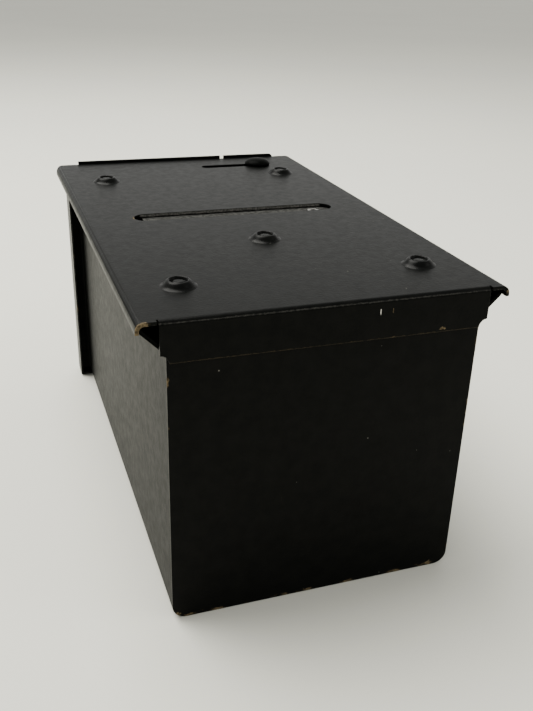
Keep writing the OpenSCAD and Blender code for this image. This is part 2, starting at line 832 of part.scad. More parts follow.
// At rest the cam points sideways, clear of the strike, so the door can swing
module lock_cam() {
    hole = tang + 2 * hold_fit;
    color(ZINC) translate([0, 0, lock_z]) difference() {
        along_y(cam_y0, cam_y1) slot_outline([0, 0], [cam_w / 2 - cam_l, 0], cam_w);
        block([-hole / 2, cam_y0 - cut, -hole / 2], [hole / 2, cam_y1 + cut, hole / 2]);
    }
}

module cam_screw() {
    head_r = 4.2;
    head_h = 1.6;
    color(ZINC) translate([0, 0, lock_z]) {
        round_y(screw_r, cam_y0, cam_y1 + 5);
        translate([0, cam_y0, 0]) rotate([90, 0, 0]) difference() {
            dome(head_r, head_h);
            block([-0.5, -head_r, head_h - 0.8], [0.5, head_r, head_h + cut]);
        }
    }
}

// ---- Handle ----

module at_handle_rivets() {
    for (s = [-1, 1], v = [-1, 1])
        translate([s * (boss_x + boss_l / 2), 0, handle_z + v * (bracket_plate_h / 2 - 3)]) children();
}

module handle_brackets() {
    color(BLACK) for (s = [-1, 1]) {
        x0 = s > 0 ? boss_x : -boss_x - boss_l;
        difference() {
            union() {
                block([x0, door_y1, handle_z - bracket_plate_h / 2],
                    [x0 + boss_l, door_y1 + bracket_plate_t, handle_z + bracket_plate_h / 2]);
                block([x0, door_y1, handle_z - boss_r], [x0 + boss_l, handle_y, handle_z + boss_r]);
                translate([0, handle_y, handle_z]) round_x(boss_r, x0, x0 + boss_l);
            }
            translate([0, handle_y, handle_z]) round_x(wire_r + run_fit, x0 - cut, x0 + boss_l + cut);
            at_handle_rivets()
                round_y(small_rivet_r + hold_fit, door_y1 - cut, door_y1 + bracket_plate_t + cut);
        }
    }
}

module handle_rivets() {
    color(BLACK) at_handle_rivets()
        translate([0, door_y1 + bracket_plate_t, 0]) rotate([-90, 0, 0]) small_rivet(sheet + bracket_plate_t);
}

// Quarter turn of the handle's wire, from +X to -Z about its own centre
module wire_bend() {
    rotate([-90, 0, 0]) rotate_extrude(angle = 90, $fn = 96)
        translate([bail_bend_r, 0]) circle(r = wire_r, $fn = 48);
}

module bail_handle() {
    leg_x = handle_w / 2;
    elbow_r = wire_r + 0.5;
    color(BLACK) translate([0, handle_y, handle_z]) {
        for (s = [0, 1]) mirror([s, 0, 0]) {
            round_x(wire_r, leg_x, bail_end_x);
            translate([leg_x, 0, 0]) sphere(r = wire_r, $fn = 48);
            translate([leg_x, 0, bail_bend_r - handle_h])
                cylinder(r = wire_r, h = handle_h - bail_bend_r, $fn = 48);
            translate([leg_x - bail_bend_r, 0, bail_bend_r - handle_h]) wire_bend();
        }
        translate([0, 0, -handle_h]) round_x(wire_r, bail_bend_r - leg_x, leg_x - bail_bend_r);
    }
}

body_shell();
front_panel();
top_plate();
mechanism_tray();
tray_spacers();
top_rivets();
shutter_guides();
shutter();
shutter_eyelet();
follower_pin();
drive_bar();
drive_stud();
spring_rod();
shutter_spring();
spring_bracket();
rear_rail();
lock_strike();
strike_rivets();
door();
lock_plate();
hinge_body_leaf();
hinge_door_leaf();
hinge_pin();
hinge_body_rivets();
hinge_door_rivets();
lock_body();
lock_nut();
lock_plug();
lock_cam();
cam_screw();
handle_brackets();
handle_rivets();
bail_handle();
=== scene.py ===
"""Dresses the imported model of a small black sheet-steel drop box: finer rivets, stud and spring, worn
enamel and plated finishes, and the studio it stands in."""

import math
import random

import bmesh
import bpy
from mathutils import Euler, Matrix, Vector


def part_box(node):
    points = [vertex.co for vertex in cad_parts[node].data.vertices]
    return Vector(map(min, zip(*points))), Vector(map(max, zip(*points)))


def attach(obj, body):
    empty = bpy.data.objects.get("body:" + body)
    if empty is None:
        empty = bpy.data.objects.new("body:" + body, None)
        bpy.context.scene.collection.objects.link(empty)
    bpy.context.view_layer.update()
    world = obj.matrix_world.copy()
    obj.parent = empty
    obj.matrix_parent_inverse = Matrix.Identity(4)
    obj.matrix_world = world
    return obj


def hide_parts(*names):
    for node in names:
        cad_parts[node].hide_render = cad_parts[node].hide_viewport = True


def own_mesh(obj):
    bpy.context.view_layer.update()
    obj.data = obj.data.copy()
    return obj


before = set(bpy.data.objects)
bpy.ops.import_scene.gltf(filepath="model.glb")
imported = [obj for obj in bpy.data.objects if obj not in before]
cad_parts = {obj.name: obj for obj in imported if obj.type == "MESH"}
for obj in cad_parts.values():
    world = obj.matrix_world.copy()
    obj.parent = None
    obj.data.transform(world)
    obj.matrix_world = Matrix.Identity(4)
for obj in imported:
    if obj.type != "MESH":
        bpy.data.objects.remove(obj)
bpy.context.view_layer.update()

bl_info = {
    "name": "Slotted Drop Box",
    "version": (1, 0, 0),
    "blender": (4, 5, 0),
    "location": "3D View > Sidebar > Drop Box",
    "description": "Finishes the pieces of a small sheet-steel drop box and sets up its studio",
    "category": "Object",
}

MM = 0.001
SEED = 41
X_AXIS = (1.0, 0.0, 0.0)
Y_AXIS = (0.0, 1.0, 0.0)
Z_AXIS = (0.0, 0.0, 1.0)

# Distances under which two corners of a mesh are made one
SAME_POINT = 0.000002
SHORT_EDGE = 0.00006

# Indices of refraction, found by trial under this studio's lights. Real enamel is near 1.5.
ENAMEL_IOR = 1.13
BODY_IOR = 1.068
RIVET_IOR = 1.15
STUD_IOR = 1.06
SHUTTER_IOR = 1.10

# The studio: places in metres, angles in degrees
FLOOR_REACH = 30.0
FLOOR_DROP = 0.0002
ROOM_COLOUR = (0.80, 0.80, 0.77, 1.0)
LAMP_COLOUR = (1.0, 0.985, 0.93)
KEY_PLACE, KEY_AIM, KEY_SIZE = (-0.45, 0.55, 1.55), (-0.1, 0.0, 0.0), 1.4
FILL_PLACE, FILL_AIM, FILL_SIZE = (1.4, -0.9, 1.3), (0.0, 0.0, 0.05), 1.0
CAMERA_PLACE = (-0.12180, -0.39379, 0.25107)
CAMERA_ANGLES = (64.885, -1.565, -18.859)
SENSOR_WIDTH = 36.0

PLATE_LO, PLATE_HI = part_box("top_plate")
BODY_LO, BODY_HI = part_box("body_shell")
PANEL_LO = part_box("front_panel")[0]
DOOR_LO, DOOR_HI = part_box("door")

# The paper slot's left end, middle line and far side
SLOT_LEFT, SLOT_MID, SLOT_FAR = -51.5 * MM, 3.0 * MM, 9.0 * MM


# ---- Settings that a user would change ----


class DropBoxFinish(bpy.types.PropertyGroup):
    """Colours and wear of the finishes"""

    enamel: bpy.props.FloatVectorProperty(
        name="Enamel", description="Colour of the black enamel", size=4, subtype="COLOR",
        min=0.0, max=1.0, default=(0.0011, 0.0014, 0.0012, 1.0))
    enamel_faded: bpy.props.FloatVectorProperty(
        name="Faded enamel", description="Colour where the enamel is rubbed thin", size=4, subtype="COLOR",
        min=0.0, max=1.0, default=(0.0028, 0.0030, 0.0026, 1.0))
    undercoat: bpy.props.FloatVectorProperty(
        name="Worn edge", description="Tan colour of an edge where the enamel has gone", size=4,
        subtype="COLOR", min=0.0, max=1.0, default=(0.150, 0.112, 0.062, 1.0))
    bare_steel: bpy.props.FloatVectorProperty(
        name="Bare steel", description="Colour of bare steel in chips and worn parts", size=4,
        subtype="COLOR", min=0.0, max=1.0, default=(0.46, 0.45, 0.43, 1.0))
    zinc: bpy.props.FloatVectorProperty(
        name="Zinc plate", description="Colour of the plated hidden parts", size=4, subtype="COLOR",
        min=0.0, max=1.0, default=(0.40, 0.40, 0.385, 1.0))
    chrome: bpy.props.FloatVectorProperty(
        name="Chrome plate", description="Colour of the lock's plating", size=4, subtype="COLOR",
        min=0.0, max=1.0, default=(0.62, 0.62, 0.62, 1.0))
    grey: bpy.props.FloatVectorProperty(
        name="Shutter grey", description="Colour of the thin paint on the shutter and its bar", size=4,
        subtype="COLOR", min=0.0, max=1.0, default=(0.048, 0.048, 0.045, 1.0))
    dust: bpy.props.FloatVectorProperty(
        name="Dust", description="Colour of specks and settled dust", size=4, subtype="COLOR",
        min=0.0, max=1.0, default=(0.30, 0.29, 0.26, 1.0))
    gloss: bpy.props.FloatProperty(
        name="Enamel roughness", description="Roughness of the enamel where it is clean", subtype="FACTOR",
        min=0.05, max=1.0, default=0.34)
    wear: bpy.props.FloatProperty(
        name="Wear", description="How far the edges are worn", subtype="FACTOR",
        min=0.0, max=1.0, default=0.5)


class DropBoxShape(bpy.types.PropertyGroup):
    """Sizes of the finer pieces"""

    edge_round: bpy.props.FloatProperty(
        name="Edge rounding", description="Width of the rounding on the cut sheet edges", unit="LENGTH",
        min=0.00005, max=0.0006, precision=5, default=0.00022)
    spring_turns: bpy.props.IntProperty(
        name="Spring turns", description="Number of turns in the return spring", min=10, max=60, default=29)
    spring_wire: bpy.props.FloatProperty(
        name="Spring wire", description="Diameter of the spring's wire", unit="LENGTH",
        min=0.0002, max=0.0008, precision=5, default=0.0005)
    rivet_head: bpy.props.FloatProperty(
        name="Rivet head", description="Height of the rivets' upset heads above the plate", unit="LENGTH",
        min=0.0015, max=0.004, precision=5, default=0.0026)


class DropBoxStudio(bpy.types.PropertyGroup):
    """Floor, lights and camera"""

    floor: bpy.props.FloatVectorProperty(
        name="Floor", description="Colour of the seamless floor", size=4, subtype="COLOR",
        min=0.0, max=1.0, default=(0.76, 0.755, 0.675, 1.0))
    key_power: bpy.props.FloatProperty(
        name="Key light", description="Power of the large soft light", unit="POWER", min=0.0, max=400.0,
        default=58.0)
    fill_power: bpy.props.FloatProperty(
        name="Fill light", description="Power of the fill light", unit="POWER", min=0.0, max=200.0,
        default=5.0)
    sky: bpy.props.FloatProperty(
        name="Room light", description="Strength of the even light from the room", min=0.0, max=3.0,
        default=0.90)
    backdrop: bpy.props.FloatProperty(
        name="Backdrop", description="How many times brighter the room is behind the box", min=0.5, max=5.0,
        default=1.55)
    lens: bpy.props.FloatProperty(
        name="Lens", description="Focal length in millimetres on a 36 mm sensor", min=20.0, max=120.0,
        default=42.185)


# ---- Node wiring ----


class Wires:
    """Short calls for wiring one node tree."""

    def __init__(self, tree):
        self.tree = tree

    def add(self, kind, **settings):
        node = self.tree.nodes.new("ShaderNode" + kind)
        for name, value in settings.items():
            setattr(node, name, value)
        return node

    def put(self, socket, value):
        if isinstance(value, bpy.types.NodeSocket):
            self.tree.links.new(value, socket)
        else:
            socket.default_value = value

    def math(self, operation, first, second=0.0, third=0.0):
        node = self.add("Math", operation=operation)
        for socket, value in zip(node.inputs, (first, second, third)):
            self.put(socket, value)
        return node.outputs[0]

    def vector(self, operation, first, second=(0.0, 0.0, 0.0)):
        node = self.add("VectorMath", operation=operation)
        self.put(node.inputs[0], first)
        if operation != "LENGTH":
            self.put(node.inputs[1], second)
        return node.outputs["Value" if operation in ("LENGTH", "DOT_PRODUCT") else "Vector"]

    def noise(self, where, scale, detail=2.0, roughness=0.5):
        node = self.add("TexNoise")
        for name, value in (("Vector", where), ("Scale", scale), ("Detail", detail),
                            ("Roughness", roughness)):
            self.put(node.inputs[name], value)
        return node.outputs["Fac"]

    def ramp(self, value, start, end, low=0.0, high=1.0, smooth=True):
        node = self.add("MapRange", interpolation_type="SMOOTHSTEP" if smooth else "LINEAR")
        for socket, number in zip(node.inputs, (value, start, end, low, high)):
            self.put(socket, number)
        return node.outputs[0]

    def blend(self, factor, first, second):
        """Mix of two colours. The Mix node's sockets 6 and 7 are its colours."""
        node = self.add("Mix", data_type="RGBA")
        for index, value in ((0, factor), (6, first), (7, second)):
            self.put(node.inputs[index], value)
        return node.outputs[2]

    def number(self, factor, first, second):
        """Mix of two numbers. The Mix node's sockets 2 and 3 are its numbers."""
        node = self.add("Mix", data_type="FLOAT")
        for index, value in ((0, factor), (2, first), (3, second)):
            self.put(node.inputs[index], value)
        return node.outputs[0]

    def effect(self, name, **values):
        node = self.add("Group")
        node.node_tree = bpy.data.node_groups[name]
        for key, value in values.items():
            self.put(node.inputs[key.replace("_", " ")], value)
        return node.outputs[0]


def new_effect(name, inputs, output):
    """A shader node group with named inputs and one named output."""
    tree = bpy.data.node_groups.new(name, "ShaderNodeTree")
    for label, kind, value in inputs:
        socket = tree.interface.new_socket(label, in_out="INPUT", socket_type="NodeSocket" + kind)
        if value is not None:
            socket.default_value = value
    tree.interface.new_socket(output[0], in_out="OUTPUT", socket_type="NodeSocket" + output[1])
    wires = Wires(tree)
    entry = tree.nodes.new("NodeGroupInput").outputs
    leave = tree.nodes.new("NodeGroupOutput").inputs[0]
    return wires, entry, leave


def make_worn_edge():
    """Ragged wear along a straight edge, strongest on the edge itself."""
    wires, entry, leave = new_effect("Worn edge", [
        ("Position", "Vector", None), ("Edge Point", "Vector", None), ("Edge Direction", "Vector", None),
        ("Reach", "Float", 0.001), ("Amount", "Float", 0.5)], ("Mask", "Float"))
    away = wires.vector("SUBTRACT", entry["Position"], entry["Edge Point"])
    distance = wires.vector("LENGTH", wires.vector("CROSS_PRODUCT", away, entry["Edge Direction"]))
    fine = wires.noise(entry["Position"], 620.0, 4.0, 0.62)
    broad = wires.noise(entry["Position"], 95.0, 3.0, 0.6)
    reach = wires.math("MULTIPLY", entry["Reach"], wires.ramp(fine, 0.25, 0.75, 0.25, 1.5))
    near = wires.ramp(distance, wires.math("MULTIPLY", reach, 0.5), reach, 1.0, 0.0)
    limit = wires.math("SUBTRACT", 0.86, wires.math("MULTIPLY", entry["Amount"], 0.72))
    patch = wires.ramp(broad, limit, wires.math("ADD", limit, 0.10))
    wires.put(leave, wires.math("MULTIPLY", near, patch))


def make_chip():
    """One ragged chip or rub of a given size at a given place."""
    wires, entry, leave = new_effect("Chip", [
        ("Position", "Vector", None), ("Centre", "Vector", None), ("Size", "Vector", (0.001, 0.001, 0.001)),
        ("Raggedness", "Float", 0.6), ("Grain", "Float", 900.0)], ("Mask", "Float"))
    away = wires.vector("DIVIDE", wires.vector("SUBTRACT", entry["Position"], entry["Centre"]), entry["Size"])
    rough = wires.math("SUBTRACT", wires.noise(entry["Position"], entry["Grain"], 3.0, 0.6), 0.5)
    distance = wires.math("MULTIPLY_ADD", rough, wires.math("MULTIPLY", entry["Raggedness"], 3.0),
                          wires.vector("LENGTH", away))
    wires.put(leave, wires.ramp(distance, 0.65, 1.0, 1.0, 0.0))


def make_scratches():
    """Fine dashes along whichever axis has the smallest stretch."""
    wires, entry, leave = new_effect("Scratches", [
        ("Position", "Vector", None), ("Stretch", "Vector", (40.0, 1500.0, 1500.0)),
        ("Amount", "Float", 0.3)], ("Mask", "Float"))
    lines = wires.noise(wires.vector("MULTIPLY", entry["Position"], entry["Stretch"]), 1.0, 1.0, 0.4)
    limit = wires.math("SUBTRACT", 0.86, wires.math("MULTIPLY", entry["Amount"], 0.3))
    dashes = wires.ramp(lines, limit, wires.math("ADD", limit, 0.06))
    where = wires.ramp(wires.noise(entry["Position"], 34.0, 2.0), 0.46, 0.62)
    wires.put(leave, wires.math("MULTIPLY", dashes, where))


def make_specks():
    """Scattered round specks, a share of the cells holding one each."""
    wires, entry, leave = new_effect("Specks", [
        ("Position", "Vector", None), ("Scale", "Float", 300.0), ("Share", "Float", 0.1),
        ("Size", "Float", 0.2)], ("Mask", "Float"))
    cells = wires.add("TexVoronoi", feature="F1")
    wires.put(cells.inputs["Vector"], entry["Position"])
    wires.put(cells.inputs["Scale"], entry["Scale"])
    parts = wires.add("SeparateColor")
    wires.put(parts.inputs[0], cells.outputs["Color"])
    kept = wires.math("LESS_THAN", parts.outputs[0], entry["Share"])
    size = wires.math("MULTIPLY", entry["Size"], wires.ramp(parts.outputs[1], 0.0, 1.0, 0.4, 1.0, False))
    dot = wires.ramp(cells.outputs["Distance"], wires.math("MULTIPLY", size, 0.6), size, 1.0, 0.0)
    wires.put(leave, wires.math("MULTIPLY", dot, kept))


def make_paint_skin():
    """Height of brushed-out enamel: fine orange peel over slow waves of the sheet."""
    wires, entry, leave = new_effect("Paint skin", [
        ("Position", "Vector", None), ("Peel", "Float", 0.3), ("Waves", "Float", 1.0)], ("Height", "Float"))
    peel = wires.noise(entry["Position"], 760.0, 3.0, 0.55)
    waves = wires.noise(entry["Position"], 26.0, 1.0, 0.4)
    height = wires.math("MULTIPLY_ADD", peel, entry["Peel"], wires.math("MULTIPLY", waves, entry["Waves"]))
    wires.put(leave, height)


def make_mottle():
    """Cloudy change from one colour to another."""
    wires, entry, leave = new_effect("Mottle", [
        ("Position", "Vector", None), ("First", "Color", None), ("Second", "Color", None),
        ("Scale", "Float", 40.0), ("Contrast", "Float", 0.5)], ("Colour", "Color"))
    cloud = wires.noise(entry["Position"], entry["Scale"], 5.0, 0.6)
    half = wires.math("MULTIPLY_ADD", entry["Contrast"], -0.24, 0.27)
    factor = wires.ramp(cloud, wires.math("SUBTRACT", 0.5, half), wires.math("ADD", 0.5, half))
    wires.put(leave, wires.blend(factor, entry["First"], entry["Second"]))


def make_grain():
    """Fine parallel grain of drawn or brushed metal."""
    wires, entry, leave = new_effect("Drawn grain", [
        ("Position", "Vector", None), ("Stretch", "Vector", (60.0, 2600.0, 2600.0))], ("Height", "Float"))
    stretched = wires.vector("MULTIPLY", entry["Position"], entry["Stretch"])
    wires.put(leave, wires.noise(stretched, 1.0, 3.0, 0.6))


# ---- Materials ----


def new_material(name):
    """An empty material with its node wiring, its shader and the place on the piece."""
    material = bpy.data.materials.new(name)
    material.use_nodes = True
    material.node_tree.nodes.clear()
    wires = Wires(material.node_tree)
    shader = wires.add("BsdfPrincipled")
    out = wires.add("OutputMaterial")
    wires.put(out.inputs["Surface"], shader.outputs["BSDF"])
    place = wires.add("TexCoord").outputs["Object"]
    return material, wires, shader, place


def shade(colour, share):
    """A colour darkened to a share of itself."""
    return tuple(share * c for c in colour[:3]) + (1.0,)


def chip(wires, place, centre, size, ragged):
    """Mask of one chip or rub."""
    return wires.effect("Chip", Position=place, Centre=centre, Size=size, Raggedness=ragged)


def strongest(wires, masks):
    """The highest of several masks at each point."""
    total = masks[0]
    for mask in masks[1:]:
        total = wires.math("MAXIMUM", total, mask)
    return total


def bumped(wires, shader, height, depth):
    """Fine relief from a height, which is multiplied by a depth in metres."""
    bump = wires.add("Bump")
    bump.inputs["Strength"].default_value = 1.0
    bump.inputs["Distance"].default_value = depth
    wires.put(bump.inputs["Height"], height)
    wires.put(shader.inputs["Normal"], bump.outputs["Normal"])


def enamel(name, edges=(), chips=(), rub=(40.0, 1500.0, 1500.0), scratches=0.3, specks=0.012, waves=0.12,
           peel=0.45, rougher=0.0, ior=ENAMEL_IOR, grey_patches_and_painted_highlight=()):
    """Black enamel worn along the given edges. An edge is (point, direction, reach, amount) and, for faint
    wear, the share of the enamel that has gone. A chip is (centre, size, raggedness, bare): tan where bare
    is under a half, and otherwise bright steel. The last argument lists the (centre, size, raggedness, share)
    of places coloured a speckled grey; some of these are painted highlights, thin grey lines that stand for
    light caught on a bend."""
    finish = bpy.context.scene.drop_box_finish
    material, wires, shader, place = new_material(name)
    colour = wires.effect("Mottle", Position=place, First=finish.enamel, Second=finish.enamel_faded,
                          Scale=150.0, Contrast=0.2)
    lines = wires.effect("Scratches", Position=place, Stretch=rub, Amount=scratches)
    across = wires.effect("Scratches", Position=place, Stretch=tuple(reversed(rub)), Amount=scratches * 0.7)
    lines = strongest(wires, [lines, across])
    dots = wires.effect("Specks", Position=place, Scale=420.0, Share=specks, Size=0.16)
    worn = []
    for point, direction, reach, amount, *share in edges:
        mask = wires.effect("Worn edge", Position=place, Edge_Point=point, Edge_Direction=direction,
                            Reach=reach, Amount=amount * 2.0 * finish.wear)
        worn.append(wires.math("MULTIPLY", mask, share[0]) if share else mask)
    worn += [chip(wires, place, centre, size, ragged) for centre, size, ragged, bare in chips if bare < 0.5]
    bright = [chip(wires, place, centre, size, ragged) for centre, size, ragged, bare in chips if bare >= 0.5]
    colour = wires.blend(wires.math("MULTIPLY", lines, 0.12), colour, finish.dust)
    colour = wires.blend(wires.math("MULTIPLY", dots, 0.45), colour, finish.dust)
    # Grey patches; some are painted highlights, thin lines that stand for light caught on a bend
    if grey_patches_and_painted_highlight:
        dull = wires.effect("Mottle", Position=place, First=finish.grey, Second=shade(finish.dust, 0.5),
                            Scale=1100.0, Contrast=0.8)
        area = strongest(wires, [wires.math("MULTIPLY", share, chip(wires, place, centre, size, ragged))
                                 for centre, size, ragged, share in grey_patches_and_painted_highlight])
        colour = wires.blend(area, colour, dull)
    rough = wires.ramp(wires.noise(place, 240.0, 4.0, 0.65), 0.3, 0.7, finish.gloss - 0.03 + rougher,
                       finish.gloss + 0.04 + rougher)
    rough = wires.number(strongest(wires, [lines, dots]), rough, 0.6)
    if grey_patches_and_painted_highlight:
        rough = wires.number(area, rough, 0.8)
    gone = None
    if worn:
        gone = strongest(wires, worn)
        tone = wires.effect("Mottle", Position=place, First=finish.undercoat,
                            Second=shade(finish.undercoat, 0.35), Scale=700.0, Contrast=0.6)
        colour = wires.blend(gone, colour, tone)
        rough = wires.number(gone, rough, 0.62)
    if bright:
        bare = strongest(wires, bright)
        colour = wires.blend(bare, colour, finish.bare_steel)
        rough = wires.number(bare, rough, 0.45)
        wires.put(shader.inputs["Metallic"], wires.math("MULTIPLY", bare, 0.7))
        gone = strongest(wires, [gone, bare]) if gone else bare
    wires.put(shader.inputs["Base Color"], colour)
    wires.put(shader.inputs["Roughness"], rough)
    shader.inputs["IOR"].default_value = ior
    height = wires.effect("Paint skin", Position=place, Peel=peel, Waves=waves)
    height = wires.math("MULTIPLY_ADD", lines, -0.12, height)
    if gone:
        height = wires.math("MULTIPLY_ADD", gone, -0.5, height)
    bumped(wires, shader, height, 0.00012)
    return material


def shutter_paint(name):
    """Thin grey paint, freckled by dust and by rubs down to the steel."""
    finish = bpy.context.scene.drop_box_finish
    material, wires, shader, place = new_material(name)
    colour = wires.effect("Mottle", Position=place, First=shade(finish.grey, 0.45), Second=finish.grey,
                          Scale=520.0, Contrast=0.8)
    freckles = wires.effect("Specks", Position=place, Scale=900.0, Share=0.34, Size=0.42)
    rubs = wires.effect("Scratches", Position=place, Stretch=(60.0, 1300.0, 60.0), Amount=0.5)
    colour = wires.blend(wires.math("MULTIPLY", freckles, 0.20), colour, finish.dust)
    colour = wires.blend(wires.math("MULTIPLY", rubs, 0.15), colour, finish.bare_steel)
    wires.put(shader.inputs["Base Color"], colour)
    wires.put(shader.inputs["Roughness"], wires.number(freckles, 0.75, 0.85))
    shader.inputs["IOR"].default_value = SHUTTER_IOR
    height = wires.effect("Paint skin", Position=place, Peel=0.5, Waves=0.4)
    bumped(wires, shader, height, 0.0001)
    return material


def plated(name, colour, stretch, rough, cloud=0.35, stain=(0.0, 0.0, 0.0, 1.0), stained=0.0):
    """Plated or bare metal with a drawn grain, cloudy dulling and, where asked, brown staining."""
    finish = bpy.context.scene.drop_box_finish
    material, wires, shader, place = new_material(name)
    tone = wires.effect("Mottle", Position=place, First=colour, Second=shade(colour, 0.62), Scale=160.0,
                        Contrast=cloud)
    scratch = wires.effect("Scratches", Position=place, Stretch=stretch, Amount=0.55)
    tone = wires.blend(wires.math("MULTIPLY", scratch, 0.5), tone, finish.bare_steel)
    if stained:
        spots = wires.ramp(wires.noise(place, 210.0, 5.0, 0.65), 0.56, 0.72)
        cover = wires.math("MULTIPLY", spots, stained)
        tone = wires.blend(cover, tone, stain)
        wires.put(shader.inputs["Metallic"], wires.math("SUBTRACT", 1.0, cover))
    else:
        shader.inputs["Metallic"].default_value = 1.0
    wires.put(shader.inputs["Base Color"], tone)
    wires.put(shader.inputs["Roughness"],
              wires.ramp(wires.noise(place, 120.0, 3.0), 0.3, 0.7, rough - 0.06, rough + 0.10))
    grain = wires.effect("Drawn grain", Position=place, Stretch=stretch)
    bumped(wires, shader, wires.math("MULTIPLY_ADD", scratch, -0.3, grain), 0.000018)
    return material


def seamless_paper(name, colour):
    """Matt paper floor with the slightest change of tone."""
    material, wires, shader, place = new_material(name)
    tone = wires.effect("Mottle", Position=place, First=colour, Second=shade(colour, 0.97), Scale=1.7,
                        Contrast=0.2)
    wires.put(shader.inputs["Base Color"], tone)
    shader.inputs["Roughness"].default_value = 0.9
    shader.inputs["Specular IOR Level"].default_value = 0.2
    bumped(wires, shader, wires.noise(place, 1800.0, 2.0), 0.00002)
    return material


# ---- Mesh making ----


def dress(node, material):
    """Gives a CAD node its material."""
    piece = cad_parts[node]
    piece.data.materials.clear()
    piece.data.materials.append(material)
    return piece


def soften(node, material, width=None, join=SAME_POINT, clamp=False):
    """Gives a sheet-metal CAD node its material and small rounded edges. Join is the distance under which
    corners are made one, and clamp holds the rounding to what the shortest edge has room for."""
    piece = dress(node, material)
    weld = piece.modifiers.new("Join faces", "WELD")
    weld.merge_threshold = join
    flat = piece.modifiers.new("Whole flats", "DECIMATE")
    flat.decimate_type = "DISSOLVE"
    flat.angle_limit = math.radians(0.4)
    rounding = piece.modifiers.new("Edge rounding", "BEVEL")
    rounding.width = width or bpy.context.scene.drop_box_shape.edge_round
    rounding.segments = 2
    rounding.limit_method = "ANGLE"
    rounding.angle_limit = math.radians(40.0)
    rounding.harden_normals = True
    rounding.use_clamp_overlap = clamp
    return piece


def piece_from(name, mesh, material, body, replaced=()):
    """A new piece that rides on a body and stands for CAD nodes."""
    piece = bpy.data.objects.new(name, mesh)
    bpy.context.scene.collection.objects.link(piece)
    mesh.materials.append(material)
    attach(piece, body)
    if replaced:
        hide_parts(*replaced)
    return piece


def turned(name, profile, centre, wobble, rng, steps=72):
    """Mesh turned about an upright axis from a profile of (radius, height) points, and closed where the
    profile meets that axis. Four waves run round it, each up to a share wobble of the radius."""
    build = bmesh.new()
    rings = []
    waves = [(rng.uniform(0, math.tau), rng.uniform(-wobble, wobble)) for _ in range(4)]
    for radius, height in profile:
        if radius <= 0.0:
            rings.append([build.verts.new((0.0, 0.0, height))])
            continue
        ring = []
        for step in range(steps):
            angle = math.tau * step / steps
            swell = 1.0 + sum(size * math.sin((turn + 2) * angle + phase)
                              for turn, (phase, size) in enumerate(waves))
            ring.append(build.verts.new((radius * swell * math.cos(angle), radius * swell * math.sin(angle),
                                         height)))
        rings.append(ring)
    for lower, upper in zip(rings, rings[1:]):
        for step in range(steps):
            after = (step + 1) % steps
            if len(lower) == 1 and len(upper) > 1:
                build.faces.new((lower[0], upper[after], upper[step]))
            elif len(upper) == 1 and len(lower) > 1:
                build.faces.new((lower[step], lower[after], upper[0]))
            elif len(lower) > 1:
                build.faces.new((lower[step], lower[after], upper[after], upper[step]))
    bmesh.ops.recalc_face_normals(build, faces=build.faces)
    build.transform(Matrix.Translation(centre))
    mesh = bpy.data.meshes.new(name)
    build.to_mesh(mesh)
    build.free()
    for face in mesh.polygons:
        face.use_smooth = True
    return mesh


def smoothed(points, rounds=2):
    """Corner-cut version of an open profile, with its ends kept."""
    for _ in range(rounds):
        finer = [points[0]]
        for (r0, z0), (r1, z1) in zip(points, points[1:]):
            finer.append((0.75 * r0 + 0.25 * r1, 0.75 * z0 + 0.25 * z1))
            finer.append((0.25 * r0 + 0.75 * r1, 0.25 * z0 + 0.75 * z1))
        finer.append(points[-1])
        points = finer
    return points


def solid_centres(node, count, near):
    """Middles of a CAD node's separate solids. Vertices nearer than this to a solid's first one, seen from
    above, belong to that solid."""
    points = sorted({tuple(round(c, 6) for c in v.co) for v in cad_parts[node].data.vertices})
    groups = []
    for point in points:
        for group in groups:
            if math.dist(group[0][:2], point[:2]) < near:
                group.append(point)
                break
        else:
            groups.append([point])
    if len(groups) != count:
        raise RuntimeError(f"{node}: found {len(groups)} solids instead of {count}")
    return [tuple((min(axis) + max(axis)) / 2 for axis in zip(*group)) for group in groups]


# ---- Operators, one for each piece or group of like pieces ----


class DROPBOX_OT_effects(bpy.types.Operator):
    """Make the shared shader effects: worn edges, chips, scratches, specks, paint skin, mottle and grain"""

    bl_idname = "dropbox.effects"
    bl_label = "Shared Effects"

    def execute(self, context):
        for make in (make_worn_edge, make_chip, make_scratches, make_specks, make_paint_skin, make_mottle,
                     make_grain):
            make()
        return {"FINISHED"}


